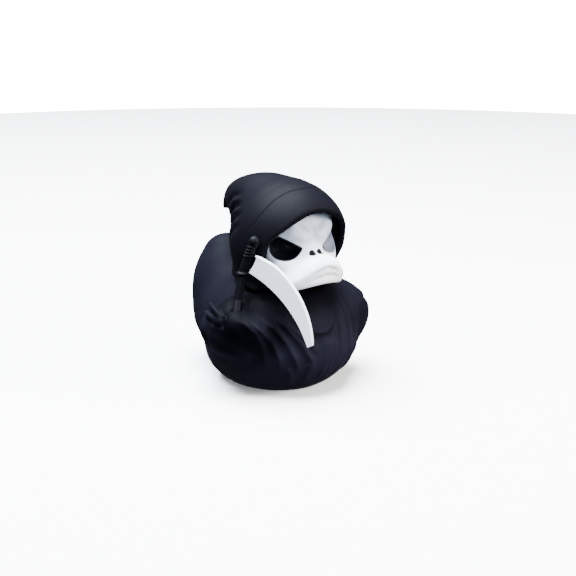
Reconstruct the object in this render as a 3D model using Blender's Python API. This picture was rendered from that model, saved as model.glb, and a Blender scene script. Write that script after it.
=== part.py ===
"""Novelty duck figurine: a moulded bath duck dressed as the hooded reaper of folk tales.

The duck looks along -Y and its left side is +X.  It stands on the flat underside of
its hull, with the origin under the middle of the whole figure.

The free form is drawn in ninetieths of the figure's height, so one step is 1 mm on the
90 mm figure.  Each piece is a set of named masses that run smoothly into each other.
Blender's voxel remesh joins the masses, and the skin is then pressed onto their blend.
"""

import math

import bmesh
import bpy
import numpy as np
from mathutils import Matrix, Vector

# Driving dimensions, in metres
FIGURE_HEIGHT = 0.090
JOINT_GAP = 0.0004
HOOD_THICKNESS = 0.0022
SNATH_DIAMETER = 0.0036
SNATH_KNOB_DIAMETER = 0.0044
BLADE_SPINE = 0.0020
BLADE_EDGE = 0.0011

# One step of the free form, and the sizes above in those steps
STEP = FIGURE_HEIGHT / 90
GAP = JOINT_GAP / STEP
HOOD_WALL = HOOD_THICKNESS / STEP
SNATH_RADIUS = SNATH_DIAMETER / 2 / STEP
KNOB_RADIUS = SNATH_KNOB_DIAMETER / 2 / STEP
SPINE_HALF = BLADE_SPINE / 2 / STEP
EDGE_HALF = BLADE_EDGE / 2 / STEP

# Fineness of the skins in those steps, and the triangles that each piece may keep
CELL = 1.3
HOOD_CELL = 1.0
FACE_CELL = 0.9
SNATH_CELL = 0.5
BODY_FACES = 3800
HOOD_FACES = 2900
FACE_FACES = 1900
SNATH_FACES = 700
BORE_FACES = 240


def start_empty():
    for item in list(bpy.data.objects):
        bpy.data.objects.remove(item, do_unlink=True)


def plastic(name, colour, roughness):
    material = bpy.data.materials.new(name)
    material.use_nodes = True
    shader = material.node_tree.nodes["Principled BSDF"]
    shader.inputs["Base Color"].default_value = (*colour, 1.0)
    shader.inputs["Roughness"].default_value = roughness
    shader.inputs["Metallic"].default_value = 0.0
    return material


class Ball:
    """An ellipsoid of three half sizes."""

    def __init__(self, centre, half):
        self.centre = np.array(centre, float)
        self.half = np.array(half, float)

    def distance(self, points):
        local = points - self.centre
        near = np.linalg.norm(local / self.half, axis=1)
        steep = np.linalg.norm(local / self.half ** 2, axis=1)
        return near * (near - 1.0) / np.maximum(steep, 1e-6)

    def add_to(self, mesh, swell=0.0):
        place = Matrix.Translation(Vector(self.centre)) @ Matrix.Diagonal([*(self.half + swell), 1.0])
        bmesh.ops.create_icosphere(mesh, subdivisions=4, radius=1.0, matrix=place)

    def mirrored(self):
        return Ball(self.centre * (-1, 1, 1), self.half)


class Slab:
    """A flat disc with an oval plan and edges rounded over a reach."""

    def __init__(self, centre, half, edge):
        self.centre = np.array(centre, float)
        self.half = np.array(half, float)
        self.edge = edge

    def distance(self, points):
        local = points - self.centre
        near = np.linalg.norm(local[:, :2] / self.half[:2], axis=1)
        steep = np.linalg.norm(local[:, :2] / self.half[:2] ** 2, axis=1)
        rim = near * (near - 1.0) / np.maximum(steep, 1e-6)
        return keep(rim, np.abs(local[:, 2]) - self.half[2], self.edge)

    def add_to(self, mesh, swell=0.0):
        place = Matrix.Translation(Vector(self.centre)) @ Matrix.Diagonal([*(self.half + swell), 1.0])
        bmesh.ops.create_icosphere(mesh, subdivisions=4, radius=1.0, matrix=place)


class Limb:
    """A row of balls (x, y, z, radius) joined by tapering necks."""

    def __init__(self, *stations):
        self.stations = np.array(stations, float)

    def distance(self, points):
        nearest = np.full(len(points), np.inf)
        for first, last in zip(self.stations[:-1], self.stations[1:]):
            along = last[:3] - first[:3]
            share = (points - first[:3]) @ along / (along @ along)
            share = np.clip(share, 0.0, 1.0)
            axis_point = first[:3] + share[:, None] * along
            radius = first[3] + share * (last[3] - first[3])
            gap = np.linalg.norm(points - axis_point, axis=1) - radius
            nearest = np.minimum(nearest, gap)
        return nearest

    def add_to(self, mesh, swell=0.0):
        for first, last in zip(self.stations[:-1], self.stations[1:]):
            length = np.linalg.norm(last[:3] - first[:3])
            steps = max(2, int(math.ceil(length / (0.4 * min(first[3], last[3])))))
            for step in range(steps + 1):
                spot = first + (last - first) * step / steps
                place = Matrix.Translation(Vector(spot[:3]))
                bmesh.ops.create_icosphere(mesh, subdivisions=2, radius=spot[3] + swell, matrix=place)

    def mirrored(self):
        return Limb(*(self.stations * (-1, 1, 1, 1)))

    def turned(self, degrees, inward):
        """The same limb moved inward and then round the upright axis."""
        turn = math.radians(degrees)
        x, y, z, radius = self.stations.T
        reach = np.hypot(x, y)
        x, y = x * (1 - inward / reach), y * (1 - inward / reach)
        across = x * math.cos(turn) - y * math.sin(turn)
        ahead = x * math.sin(turn) + y * math.cos(turn)
        return Limb(*np.stack([across, ahead, z, radius], axis=1))


def flowing(stations, pieces=4):
    """A limb whose balls follow a smooth curve through the given stations."""
    knots = np.array(stations, float)
    padded = np.vstack([2 * knots[0] - knots[1], knots, 2 * knots[-1] - knots[-2]])
    path = []
    for before, first, last, after in zip(padded, padded[1:], padded[2:], padded[3:]):
        for step in range(pieces):
            t = step / pieces
            bend = 2 * before - 5 * first + 4 * last - after
            twist = -before + 3 * first - 3 * last + after
            path.append(0.5 * (2 * first + (last - before) * t + bend * t * t + twist * t ** 3))
    return Limb(*path, knots[-1])


class Crease:
    """A ridge (or a valley) along a path in space, for relief that wraps round a form."""

    def __init__(self, path, rise, width, last=0.25):
        self.path = np.array(path, float)
        self.rise = rise
        self.width = width
        self.last = last

    def lift(self, points):
        spans = np.linalg.norm(np.diff(self.path, axis=0), axis=1)
        nearest = np.full(len(points), np.inf)
        travelled = np.zeros(len(points))
        walked = 0.0
        for first, last, span in zip(self.path[:-1], self.path[1:], spans):
            along = last - first
            share = np.clip((points - first) @ along / (span * span), 0.0, 1.0)
            off = np.linalg.norm(points - first - share[:, None] * along, axis=1)
            travelled = np.where(off < nearest, walked + share * span, travelled)
            nearest = np.minimum(nearest, off)
            walked += span
        part = travelled / walked
        fade = ramp(part, 0.0, 0.25)
        if self.last:
            fade = fade * ramp(1.0 - part, 0.0, self.last)
        return self.rise * fade * np.exp(-(nearest / self.width) ** 1.6)

    def mirrored(self, slip=0.0):
        return Crease(self.path * (-1, 1, 1) + (0, slip, slip), self.rise, self.width, self.last)


class Fold:
    """A ridge (or, with a negative rise, a valley) that runs over the robe.

    Its path holds bearings, in degrees from straight ahead towards the duck's left,
    with heights.  The ridge dies away at both ends.
    """

    SPREAD = 0.59

    def __init__(self, path, rise, width):
        self.path = np.array(path, float) * (self.SPREAD, 1.0)
        self.rise = rise
        self.width = width

    def lift(self, bearing, height):
        here = np.stack([bearing * self.SPREAD, height], axis=1)
        spans = np.linalg.norm(np.diff(self.path, axis=0), axis=1)
        nearest = np.full(len(here), np.inf)
        travelled = np.zeros(len(here))
        walked = 0.0
        for first, last, span in zip(self.path[:-1], self.path[1:], spans):
            along = last - first
            share = np.clip((here - first) @ along / (span * span), 0.0, 1.0)
            off = np.linalg.norm(here - first - share[:, None] * along, axis=1)
            travelled = np.where(off < nearest, walked + share * span, travelled)
            nearest = np.minimum(nearest, off)
            walked += span
        part = travelled / walked
        ends = ramp(part, 0.0, 0.22) * ramp(1.0 - part, 0.0, 0.3)
        return self.rise * ends * np.exp(-(nearest / self.width) ** 1.6)


def join(a, b, reach):
    """Union of two distances, rounded over a reach."""
    mix = np.maximum(reach - np.abs(a - b), 0.0) / reach
    return np.minimum(a, b) - mix * mix * reach * 0.25


def cut(a, b, reach):
    """What is inside a and outside b, with the edge rounded over a reach."""
    return -join(-a, b, reach)


def keep(a, b, reach):
    """What is inside both, with the edge rounded over a reach."""
    return -join(-a, -b, reach)


def blend(masses, points, reach):
    total = masses[0].distance(points)
    for mass in masses[1:]:
        total = join(total, mass.distance(points), reach)
    return total


def ramp(value, low, high):
    share = np.clip((value - low) / (high - low), 0.0, 1.0)
    return share * share * (3.0 - 2.0 * share)


# The robe and the duck's body under it
HULL = Ball((0, -5.5, 18), (31.5, 34.5, 20))
KEEL = Ball((0, -1.5, 11), (26.5, 27.5, 14))
CHEST = Ball((0, -9, 28), (26.5, 26, 20))
BACK = Ball((0, 8, 28), (25, 24, 18))
TAIL = flowing([(0, 25, 25, 20.5), (0, 29.5, 36, 17.7), (0, 33, 46, 11.5)])
SLEEVE = Limb((-20, -17, 28, 13.5), (-24, -11.5, 26, 16), (-28, -3, 26, 10))
CUFF = Limb((-27, -22, 30, 8.0), (-32.5, -19, 32, 6.0))
CUFF_MOUTH = Limb((-38.4, -13.5, 33.4, 3.0), (-35.4, -16.5, 33, 3.4))
PALM = Limb((-33, -18.5, 29.6, 2.6), (-36.4, -13.5, 32.8, 3.0))
UPPER_FINGER = Limb((-36.4, -13.2, 35.1, 1.6), (-35.9, -7.2, 37.5, 1.4), (-33.4, -1.3, 37.7, 1.0))
MIDDLE_FINGER = Limb((-37.2, -12.2, 33.1, 1.7), (-37.2, -6.0, 34.3, 1.5), (-34.8, -0.3, 34.0, 1.0))
THUMB = Limb((-37.2, -16.0, 30.6, 1.7), (-38.2, -11.2, 30.5, 1.5), (-36.8, -5.7, 30.8, 1.1))
LEFT_ARM_TURN = 18.0
LEFT_ARM_INWARD = 2.5

SEAT_HEIGHT = 46.0
SEAT_DIP = 4.0
COWL_STEP = 1.2
SHAFT_PLAY = 0.8

# Folds that run down from the right sleeve, which is drawn in round the shaft
RIGHT_FOLDS = [
    Fold([(-60, 36.0), (-52, 34.5), (-46, 31.0), (-43, 25.0), (-42, 18), (-43, 11)], 1.5, 1.5),
    Fold([(-52, 37.0), (-43, 32.0), (-37, 25.5), (-33, 19), (-32, 11)], 1.5, 1.4),
    Fold([(-46, 38.0), (-36, 32.0), (-28, 25.0), (-23, 18), (-20, 10)], 1.5, 1.4),
    Fold([(-39, 38.0), (-28, 31.5), (-19, 24.5), (-13, 17), (-10, 9)], 1.3, 1.4),
    Fold([(-33, 36.5), (-23, 30.5), (-14, 25.0), (-8, 19)], 1.0, 1.2),
    Fold([(-95, 25.0), (-80, 21.5), (-64, 20.5), (-52, 18.0)], -1.6, 3.2),
]
# Folds that fan out from the left shoulder
LEFT_FOLDS = [
    Fold([(24, 42.0), (22, 35.0), (18, 27.0), (14, 18), (12, 9)], 1.1, 1.3),
    Fold([(31, 42.0), (29, 35.0), (27, 27.0), (22, 18), (19, 9)], 1.2, 1.3),
    Fold([(38, 41.5), (37, 35.0), (37, 28.0), (32, 18), (28, 9)], 1.2, 1.3),
    Fold([(44, 41.0), (45, 35.0), (48, 28.0), (45, 19), (38, 10)], 1.2, 1.4),
    Fold([(51, 40.0), (55, 34.0), (61, 27.0), (62, 19), (56, 11)], 1.0, 1.5),
    Fold([(60, 38.0), (68, 32.0), (78, 27.0), (84, 22)], 0.8, 1.7),
    Fold([(95, 25.0), (84, 21.0), (72, 18.0), (62, 15.0)], -1.3, 3.2),
]
# The rolled neckline and the upright folds below it
FRONT_FOLDS = [
    Fold([(-66, 44), (-39, 41), (-24, 34.5), (-14, 30), (-3, 28), (5, 31), (13, 36), (22, 42)], 1.1, 1.7),
    Fold([(10, 33.0), (8, 26.0), (6, 18.0), (6, 8)], 0.9, 1.2),
    Fold([(-1, 27.0), (-3, 20.0), (-4, 13.0), (-4, 5)], 0.8, 1.2),
    Fold([(17, 30.0), (14, 22.0), (11, 13.0), (10, 5)], 0.7, 1.1),
    Fold([(4, 27.0), (2, 20.0), (1, 12.0), (2, 4)], 0.7, 1.1),
    Fold([(27, 20.0), (24, 13.0), (22, 6)], 0.7, 1.2),
    Fold([(-14, 17.0), (-14, 11.0), (-13, 5)], 0.6, 1.2),
    Fold([(-27, 15.0), (-25, 10.0), (-24, 4)], 0.6, 1.3),
]


def both_sides(mass):
    return [mass, mass.mirrored()]


def both_arms(limb):
    """The right arm's limb, and the left arm's, which is held further back."""
    return [limb, limb.mirrored().turned(LEFT_ARM_TURN, LEFT_ARM_INWARD)]


HANDS = both_arms(PALM) + both_arms(UPPER_FINGER) + both_arms(MIDDLE_FINGER) + both_arms(THUMB)


def seat_height(points):
    """Height of the surface where the hood stands on the shoulders."""
    return SEAT_HEIGHT - SEAT_DIP * ramp(-points[:, 1], 0, 24)


def shoulders(points):
    f = blend([HULL, KEEL, CHEST, BACK], points, 8.0)
    for sleeve in both_sides(SLEEVE):
        f = join(f, sleeve.distance(points), 4.0)
    return f


def drapery(points):
    bearing = np.degrees(np.arctan2(points[:, 0], -points[:, 1]))
    height = points[:, 2]
    total = np.zeros(len(points))
    for fold in RIGHT_FOLDS + LEFT_FOLDS + FRONT_FOLDS:
        total += fold.lift(bearing, height)
    return total


def body_field(points):
    f = join(shoulders(points), TAIL.distance(points), 8.0)
    for cuff, mouth in zip(both_arms(CUFF), both_arms(CUFF_MOUTH)):
        f = join(f, cuff.distance(points), 2.5)
        f = cut(f, mouth.distance(points), 0.8)
    f = f - drapery(points)
    for finger in HANDS:
        f = join(f, finger.distance(points), 0.7)
    f = cut(f, hood_solid(points) - GAP, 0.4)
    f = cut(f, snath_field(points) - SHAFT_PLAY, 0.5)
    f = cut(f, blade_plate(points) - GAP, 0.3)
    return cut(f, skull_field(points) - GAP, 0.4)


# The hood
DOME = Ball((0, -13, 64.2), (24.0, 24.4, 23.6))
PEAK = flowing(
    [
        (0, -8, 68.5, 20.0),
        (0, 2, 73.2, 16.2),
        (-1, 13, 76.0, 11.0),
        (-2, 21, 76.8, 6.2),
        (-3, 26.0, 73.6, 3.4),
        (-3.8, 28.4, 71.4, 1.5),
    ]
)
NAPE = Limb((0, -9, 60, 23), (0, -7, 50, 21))
RIM_LEVEL = 60.0
RIM_FRONT = -23.6
RIM_OVERHANG = 9.0
RIM_RISE = 13.0
RIM_SWEEP = 3.0
RIM_SWEEP_LEVEL = 66.0
RIM_SWEEP_REACH = 6.0
HOLLOW_BACK = -17.0
HOOD_MOUTH = Ball((0, -32, 56), (21, 17, 19))


# Cloth gathered under the hood's point, on the right side and roughly mirrored
RIGHT_GATHERS = [
    Crease([(-4, 18, 68), (-9, 16, 72.5), (-12.8, 11, 79.4), (-13.4, 7.3, 80.5), (-13.8, 1.6, 82)], -1.1, 1.5),
    Crease([(-6, 12, 65), (-12, 10, 70), (-15.5, 5.9, 76.2), (-17.3, 0.5, 77.5), (-18.1, -4.2, 78.8)], -1.2, 1.5),
    Crease([(-11, 8, 63), (-17, 4, 68.5), (-19.8, -0.1, 73), (-20.7, -4.1, 74.4), (-20.3, -8, 76.2)], -1.1, 1.5),
    Crease([(-15, 5, 60), (-20, 1, 64.5), (-22.3, -2.6, 68.6), (-22.8, -6.2, 70.4), (-22.3, -9, 72.2)], -0.8, 1.5),
    Crease([(-6, 16, 66), (-12, 13, 73), (-14.4, 7.4, 78), (-15.3, 3.3, 79.2), (-15.7, -1.7, 80.8)], 0.7, 1.3),
    Crease([(-9, 10, 64), (-16, 6.5, 71), (-17.4, 3, 74.6), (-19.0, -1.8, 76.1), (-19.2, -5.7, 77.4)], 0.7, 1.3),
]
GATHERS = RIGHT_GATHERS + [crease.mirrored(1.0) for crease in RIGHT_GATHERS]


def gathered(points):
    total = np.zeros(len(points))
    for crease in GATHERS:
        total += crease.lift(points)
    return total


def rim_plane(points):
    """Negative ahead of the hood's front edge, which leans forward over the brow.

    Beside the eyes the edge sweeps back.
    """
    lean = RIM_OVERHANG * np.tanh((points[:, 2] - RIM_LEVEL) / RIM_RISE)
    sweep = RIM_SWEEP * np.exp(-((points[:, 2] - RIM_SWEEP_LEVEL) / RIM_SWEEP_REACH) ** 2)
    return points[:, 1] - RIM_FRONT + lean - sweep


def hood_outer(points):
    f = join(DOME.distance(points), PEAK.distance(points), 4.0)
    f = join(f, NAPE.distance(points), 5.0)
    return join(f, shoulders(points) - COWL_STEP, 6.0)


def hood_solid(points):
    """The hood down to its seat, with its front open and no skull in it yet."""
    f = cut(hood_outer(points) - gathered(points), rim_plane(points), 0.9)
    return keep(f, seat_height(points) + GAP - points[:, 2], 1.6)


def hood_field(points):
    inside = keep(DOME.distance(points) + HOOD_WALL, points[:, 1] - HOLLOW_BACK, 1.0)
    f = cut(hood_solid(points), inside, 0.8)
    return cut(f, skull_field(points) - GAP, 0.3)


# The skull face with its duck's bill
CRANIUM = Ball((0, -13, 65.5), (18.2, 15.8, 17.2))
CHEEK = Ball((-8.8, -18.2, 56), (8.8, 9.6, 7.5))
TEMPLE = Ball((-13.2, -18.4, 59.8), (4.4, 5.4, 5.6))
BRIDGE = Ball((0, -23.2, 60.2), (5.4, 6.2, 6.2))
BROW = Limb((-4.2, -25.6, 67.8, 3.6), (-8.2, -24.2, 70.2, 4.0), (-11.6, -20.2, 72.6, 3.6))
SOCKET = Ball((-12.4, -26.0, 63.4), (7.2, 6.6, 5.2))
BROW_LINE_START = (5.0, 62.2)
BROW_LINE_RISE = 0.6
NOSTRIL = Ball((-1.85, -29.6, 59.8), (1.1, 1.7, 1.4))
UPPER_BILL = Slab((0, -24, 56.4), (16.0, 14.6, 3.6), 5.0)
UPPER_DROP = 6.0
LOWER_BILL = Slab((0, -23.8, 50.6), (14.8, 13.4, 2.8), 3.0)
LOWER_DROP = 3.0
DROP_WIDTH = 13.0
LIP_LINES = [
    Crease([(-11.5, -31.3, 48.9), (-8.3, -34.3, 51.3), (-4.5, -36.8, 54.0), (0, -38.4, 55.3)], -0.7, 0.8, 0),
    Crease([(-11.0, -31.4, 47.9), (-8.0, -34.2, 49.8), (-4.3, -36.6, 51.3), (0, -37.6, 51.8)], -0.7, 0.8, 0),
]
LIP_LINES += [crease.mirrored() for crease in LIP_LINES]


def hanging(mass, drop, points):
    """Distance to a mass whose two ends hang down by the drop."""
    bent = points.copy()
    bent[:, 2] += drop * (points[:, 0] / DROP_WIDTH) ** 2
    return mass.distance(bent)


def lips(points):
    total = np.zeros(len(points))
    for crease in LIP_LINES:
        total += crease.lift(points)
    return total


def under_brow(points):
    """Below the straight slanting edge of the brows."""
    rise = BROW_LINE_RISE * (np.abs(points[:, 0]) - BROW_LINE_START[0])
    return (points[:, 2] - BROW_LINE_START[1] - rise) / math.hypot(1.0, BROW_LINE_RISE)


def skull_field(points):
    f = CRANIUM.distance(points)
    for mass in both_sides(CHEEK) + both_sides(TEMPLE) + [BRIDGE]:
        f = join(f, mass.distance(points), 3.0)
    for brow in both_sides(BROW):
        f = join(f, brow.distance(points), 2.5)
    bill = join(hanging(UPPER_BILL, UPPER_DROP, points), hanging(LOWER_BILL, LOWER_DROP, points), 0.8)
    f = join(f, bill, 2.5) - lips(points)
    for socket in both_sides(SOCKET):
        f = cut(f, keep(socket.distance(points), under_brow(points), 0.6), 0.5)
    for nostril in both_sides(NOSTRIL):
        f = cut(f, nostril.distance(points), 0.4)
    return f


# The scythe, whose shaft leans along the hood's right side
SHAFT = [
    (-33.0, -19.0, 35.2),
    (-30.0, -16.1, 42.0),
    (-27.6, -16.6, 53.2),
    (-26.4, -18.8, 60.6),
    (-25.4, -21.6, 67.2),
]
SHAFT_LIMB = Limb(*[(*spot, SNATH_RADIUS) for spot in SHAFT])
KNOB = Ball(SHAFT[4], (KNOB_RADIUS, KNOB_RADIUS, KNOB_RADIUS))
COLLAR = Ball(SHAFT[2], (SNATH_RADIUS + 0.9, SNATH_RADIUS + 0.9, 1.1))
BINDING_TURNS = 4
BINDING_RISE = 0.45
BINDING_HALF = 0.75
BLADE_ROOT = np.array((-26.8, -17.65, 0.0))
BLADE_BEARING = -61.6
OUTER_ARC = (-11.1, 24.5, 41.2, 61.0, 2.0)
INNER_ARC = (-19.1, 8.7, 49.4, 65.5, 18.8)
HEEL_TOP = (4.2, 61.1)
HEEL_SHARE = 0.125
BLADE_FOOT = 20.0
BLADE_STATIONS = 20
BLADE_ACROSS = 3


def bindings():
    """The cords wound round the shaft above the blade."""
    low, high = np.array(SHAFT[3]), np.array(SHAFT[4])
    size = (SNATH_RADIUS + BINDING_RISE, SNATH_RADIUS + BINDING_RISE, BINDING_HALF)
    shares = [(turn + 0.25) / (BINDING_TURNS + 1) for turn in range(BINDING_TURNS)]
    return [Ball(low + (high - low) * share, size) for share in shares]


BINDINGS = bindings()


def snath_field(points):
    f = join(SHAFT_LIMB.distance(points), KNOB.distance(points), 0.5)
    for ring in [COLLAR] + BINDINGS:
        f = join(f, ring.distance(points), 0.25)
    return f


def blade_axes():
    turn = math.radians(BLADE_BEARING)
    along = np.array((math.cos(turn), math.sin(turn), 0.0))
    out = np.array((math.sin(turn), -math.cos(turn), 0.0))
    return along, out


def on_arc(arc, share):
    """Point of an arc (centre, radius, first and last angle) at a share of its run."""
    across, up, radius, first, last = arc
    angle = math.radians(first + (last - first) * share)
    return np.array((across + radius * math.cos(angle), up + radius * math.sin(angle)))


def blade_plate(points):
    """A flat slab that holds the blade's plan, for the clearances round it."""
    along, out = blade_axes()
    local = points - BLADE_ROOT
    across, up, off = local @ along, points[:, 2], local @ out
    outer = np.hypot(across - OUTER_ARC[0], up - OUTER_ARC[1]) - OUTER_ARC[2]
    inner = np.hypot(across - INNER_ARC[0], up - INNER_ARC[1]) - INNER_ARC[2]
    plan = np.maximum(outer, -inner)
    return np.maximum(np.maximum(plan, BLADE_FOOT - up), np.maximum(np.abs(off) - SPINE_HALF, -across))


def blade():
    """A flat crescent between two arcs, thick along its spine and thin at its edge."""
    builder = bmesh.new()
    bmesh.ops.create_grid(builder, x_segments=BLADE_STATIONS, y_segments=BLADE_ACROSS, size=0.5)
    along, out = blade_axes()
    half = {}
    for vert in builder.verts:
        run, rise = vert.co.x + 0.5, vert.co.y + 0.5
        plan = on_arc(INNER_ARC, run) * (1.0 - rise) + on_arc(OUTER_ARC, run) * rise
        heel = max(0.0, 1.0 - run / HEEL_SHARE) * rise
        plan = plan * (1.0 - heel) + np.array(HEEL_TOP) * heel
        place = BLADE_ROOT + along * plan[0] + np.array((0.0, 0.0, plan[1]))
        half[vert.index] = EDGE_HALF + (SPINE_HALF - EDGE_HALF) * rise
        vert.co = Vector(place)
    front = builder.verts[:]
    made = bmesh.ops.extrude_face_region(builder, geom=builder.faces[:])
    back = [item for item in made["geom"] if isinstance(item, bmesh.types.BMVert)]
    for vert, twin in zip(front, back):
        reach = Vector(out) * half[vert.index]
        vert.co -= reach
        twin.co += reach
    bmesh.ops.recalc_face_normals(builder, faces=builder.faces[:])
    return object_from(builder, "scythe_blade")


# A point this near to the surface, in steps, has come to rest
SETTLED = 0.004


def slope(field, points, reach=0.05):
    """Value and gradient of a field, from four samples round each point."""
    corners = np.array([(1, -1, -1), (-1, -1, 1), (-1, 1, -1), (1, 1, 1)], float)
    gradient = np.zeros_like(points)
    total = np.zeros(len(points))
    for corner in corners:
        value = field(points + corner * reach)
        gradient += value[:, None] * corner
        total += value
    return total / 4, gradient / (4 * reach)


def press(mesh, field, rounds, stride=1.5):
    """Move a mesh's vertices onto the zero surface of a field."""
    places = np.empty(len(mesh.vertices) * 3)
    mesh.vertices.foreach_get("co", places)
    points = places.reshape(-1, 3)
    moving = np.arange(len(points))
    for _ in range(rounds):
        value, gradient = slope(field, points[moving])
        move = value[:, None] * gradient / np.maximum((gradient ** 2).sum(axis=1), 0.25)[:, None]
        length = np.linalg.norm(move, axis=1)
        move *= np.minimum(1.0, stride / np.maximum(length, 1e-9))[:, None]
        points[moving] -= move
        moving = moving[np.abs(value) > SETTLED]
    mesh.vertices.foreach_set("co", points.ravel())
    mesh.update()


def object_from(mesh_builder, name):
    mesh = bpy.data.meshes.new(name)
    mesh_builder.to_mesh(mesh)
    mesh_builder.free()
    item = bpy.data.objects.new(name, mesh)
    bpy.context.collection.objects.link(item)
    return item


def settle(item):
    """Replace an object's mesh by what its modifiers make of it."""
    graph = bpy.context.evaluated_depsgraph_get()
    made = bpy.data.meshes.new_from_object(item.evaluated_get(graph))
    item.modifiers.clear()
    old = item.data
    item.data = made
    bpy.data.meshes.remove(old)


def remesh(item, cell):
    tool = item.modifiers.new("Remesh", "REMESH")
    tool.mode = "VOXEL"
    tool.voxel_size = cell
    settle(item)


def relax(item, rounds):
    tool = item.modifiers.new("Smooth", "SMOOTH")
    tool.factor = 0.5
    tool.iterations = rounds
    settle(item)


def thin_out(item, faces):
    tool = item.modifiers.new("Decimate", "DECIMATE")
    tool.use_collapse_triangulate = True
    mesh = item.data
    mesh.calc_loop_triangles()
    tool.ratio = min(1.0, faces / len(mesh.loop_triangles))
    settle(item)


def scaffold(name, masses, swell=0.0):
    builder = bmesh.new()
    for mass in masses:
        mass.add_to(builder, swell)
    return object_from(builder, name)


def carve(item, tool_item):
    tool = item.modifiers.new("Boolean", "BOOLEAN")
    tool.operation = "DIFFERENCE"
    tool.object = tool_item
    settle(item)


def moulded(name, masses, field, cell, faces, hollow=None):
    """Scaffold, remesh, press onto the field, and thin out."""
    item = scaffold(name, masses)
    remesh(item, cell)
    if hollow is not None:
        remesh(hollow, cell)
        carve(item, hollow)
        bpy.data.objects.remove(hollow, do_unlink=True)
        remesh(item, cell)
    for _ in range(2):
        press(item.data, field, 4)
        relax(item, 1)
        remesh(item, cell)
    relax(item, 2)
    press(item.data, field, 5)
    thin_out(item, faces)
    return item


def stand_flat(item):
    """Cut a piece off flat at the ground and close it."""
    builder = bmesh.new()
    builder.from_mesh(item.data)
    parts = builder.verts[:] + builder.edges[:] + builder.faces[:]
    bmesh.ops.bisect_plane(builder, geom=parts, plane_co=(0, 0, 0), plane_no=(0, 0, -1), clear_outer=True)
    rim = [edge for edge in builder.edges if edge.is_boundary]
    bmesh.ops.edgeloop_fill(builder, edges=rim)
    bmesh.ops.triangulate(builder, faces=[f for f in builder.faces if len(f.verts) > 4])
    builder.to_mesh(item.data)
    builder.free()


def stand_in_the_middle(items):
    """Bring the pieces to metres, with the origin under the middle of the figure."""
    corners = [Vector(corner) for item in items for corner in item.bound_box]
    middle_x = (min(c.x for c in corners) + max(c.x for c in corners)) / 2
    middle_y = (min(c.y for c in corners) + max(c.y for c in corners)) / 2
    move = Matrix.Translation((-middle_x, -middle_y, 0.0))
    for item in items:
        item.data.transform(Matrix.Scale(STEP, 4) @ move)
        item.data.update()


def finish(item, material):
    item.data.materials.clear()
    item.data.materials.append(material)
    item.data.shade_smooth()
    item.data.set_sharp_from_angle(angle=math.radians(50))


def main():
    start_empty()
    body_masses = [HULL, KEEL, CHEST, BACK, TAIL] + HANDS + both_sides(SLEEVE) + both_arms(CUFF)
    body = moulded("robe_body", body_masses, body_field, CELL, BODY_FACES)
    stand_flat(body)
    bore = scaffold("bore", [Limb(*SHAFT_LIMB.stations[:2])], GAP)
    remesh(bore, SNATH_CELL)
    thin_out(bore, BORE_FACES)
    carve(body, bore)
    bpy.data.objects.remove(bore, do_unlink=True)
    hollow = scaffold("hollow", [CRANIUM, HOOD_MOUTH] + both_sides(CHEEK), GAP)
    hood = moulded("hood", [DOME, PEAK, NAPE], hood_field, HOOD_CELL, HOOD_FACES, hollow)
    face_masses = [CRANIUM, BRIDGE, UPPER_BILL, LOWER_BILL]
    face_masses += both_sides(CHEEK) + both_sides(TEMPLE) + both_sides(BROW)
    face = moulded("skull_face", face_masses, skull_field, FACE_CELL, FACE_FACES)
    snath = moulded("scythe_snath", [SHAFT_LIMB, KNOB], snath_field, SNATH_CELL, SNATH_FACES)
    crescent = blade()
    finish(body, plastic("robe_vinyl", (0.012, 0.013, 0.022), 0.5))
    finish(hood, plastic("hood_vinyl", (0.012, 0.013, 0.022), 0.5))
    finish(face, plastic("bone_white_vinyl", (0.82, 0.82, 0.82), 0.5))
    finish(snath, plastic("shaft_black_vinyl", (0.010, 0.011, 0.018), 0.42))
    finish(crescent, plastic("blade_white_vinyl", (0.86, 0.86, 0.86), 0.45))
    stand_in_the_middle([body, hood, face, snath, crescent])


main()
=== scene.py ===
"""Looks of the novelty duck figurine: a moulded bath duck dressed as the hooded reaper of folk tales.

Every piece is drawn in millimetres of the figure, as smooth masses that run into each
other, and is pressed onto their blend at a much finer cell than the solids.  The
drawing's upright axis goes through the duck's neck; main() finds the way from it to
the frame by the blade, which is the same in both.
"""

import math
import bmesh
import bpy
import numpy as np
from mathutils import Matrix, Vector


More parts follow.
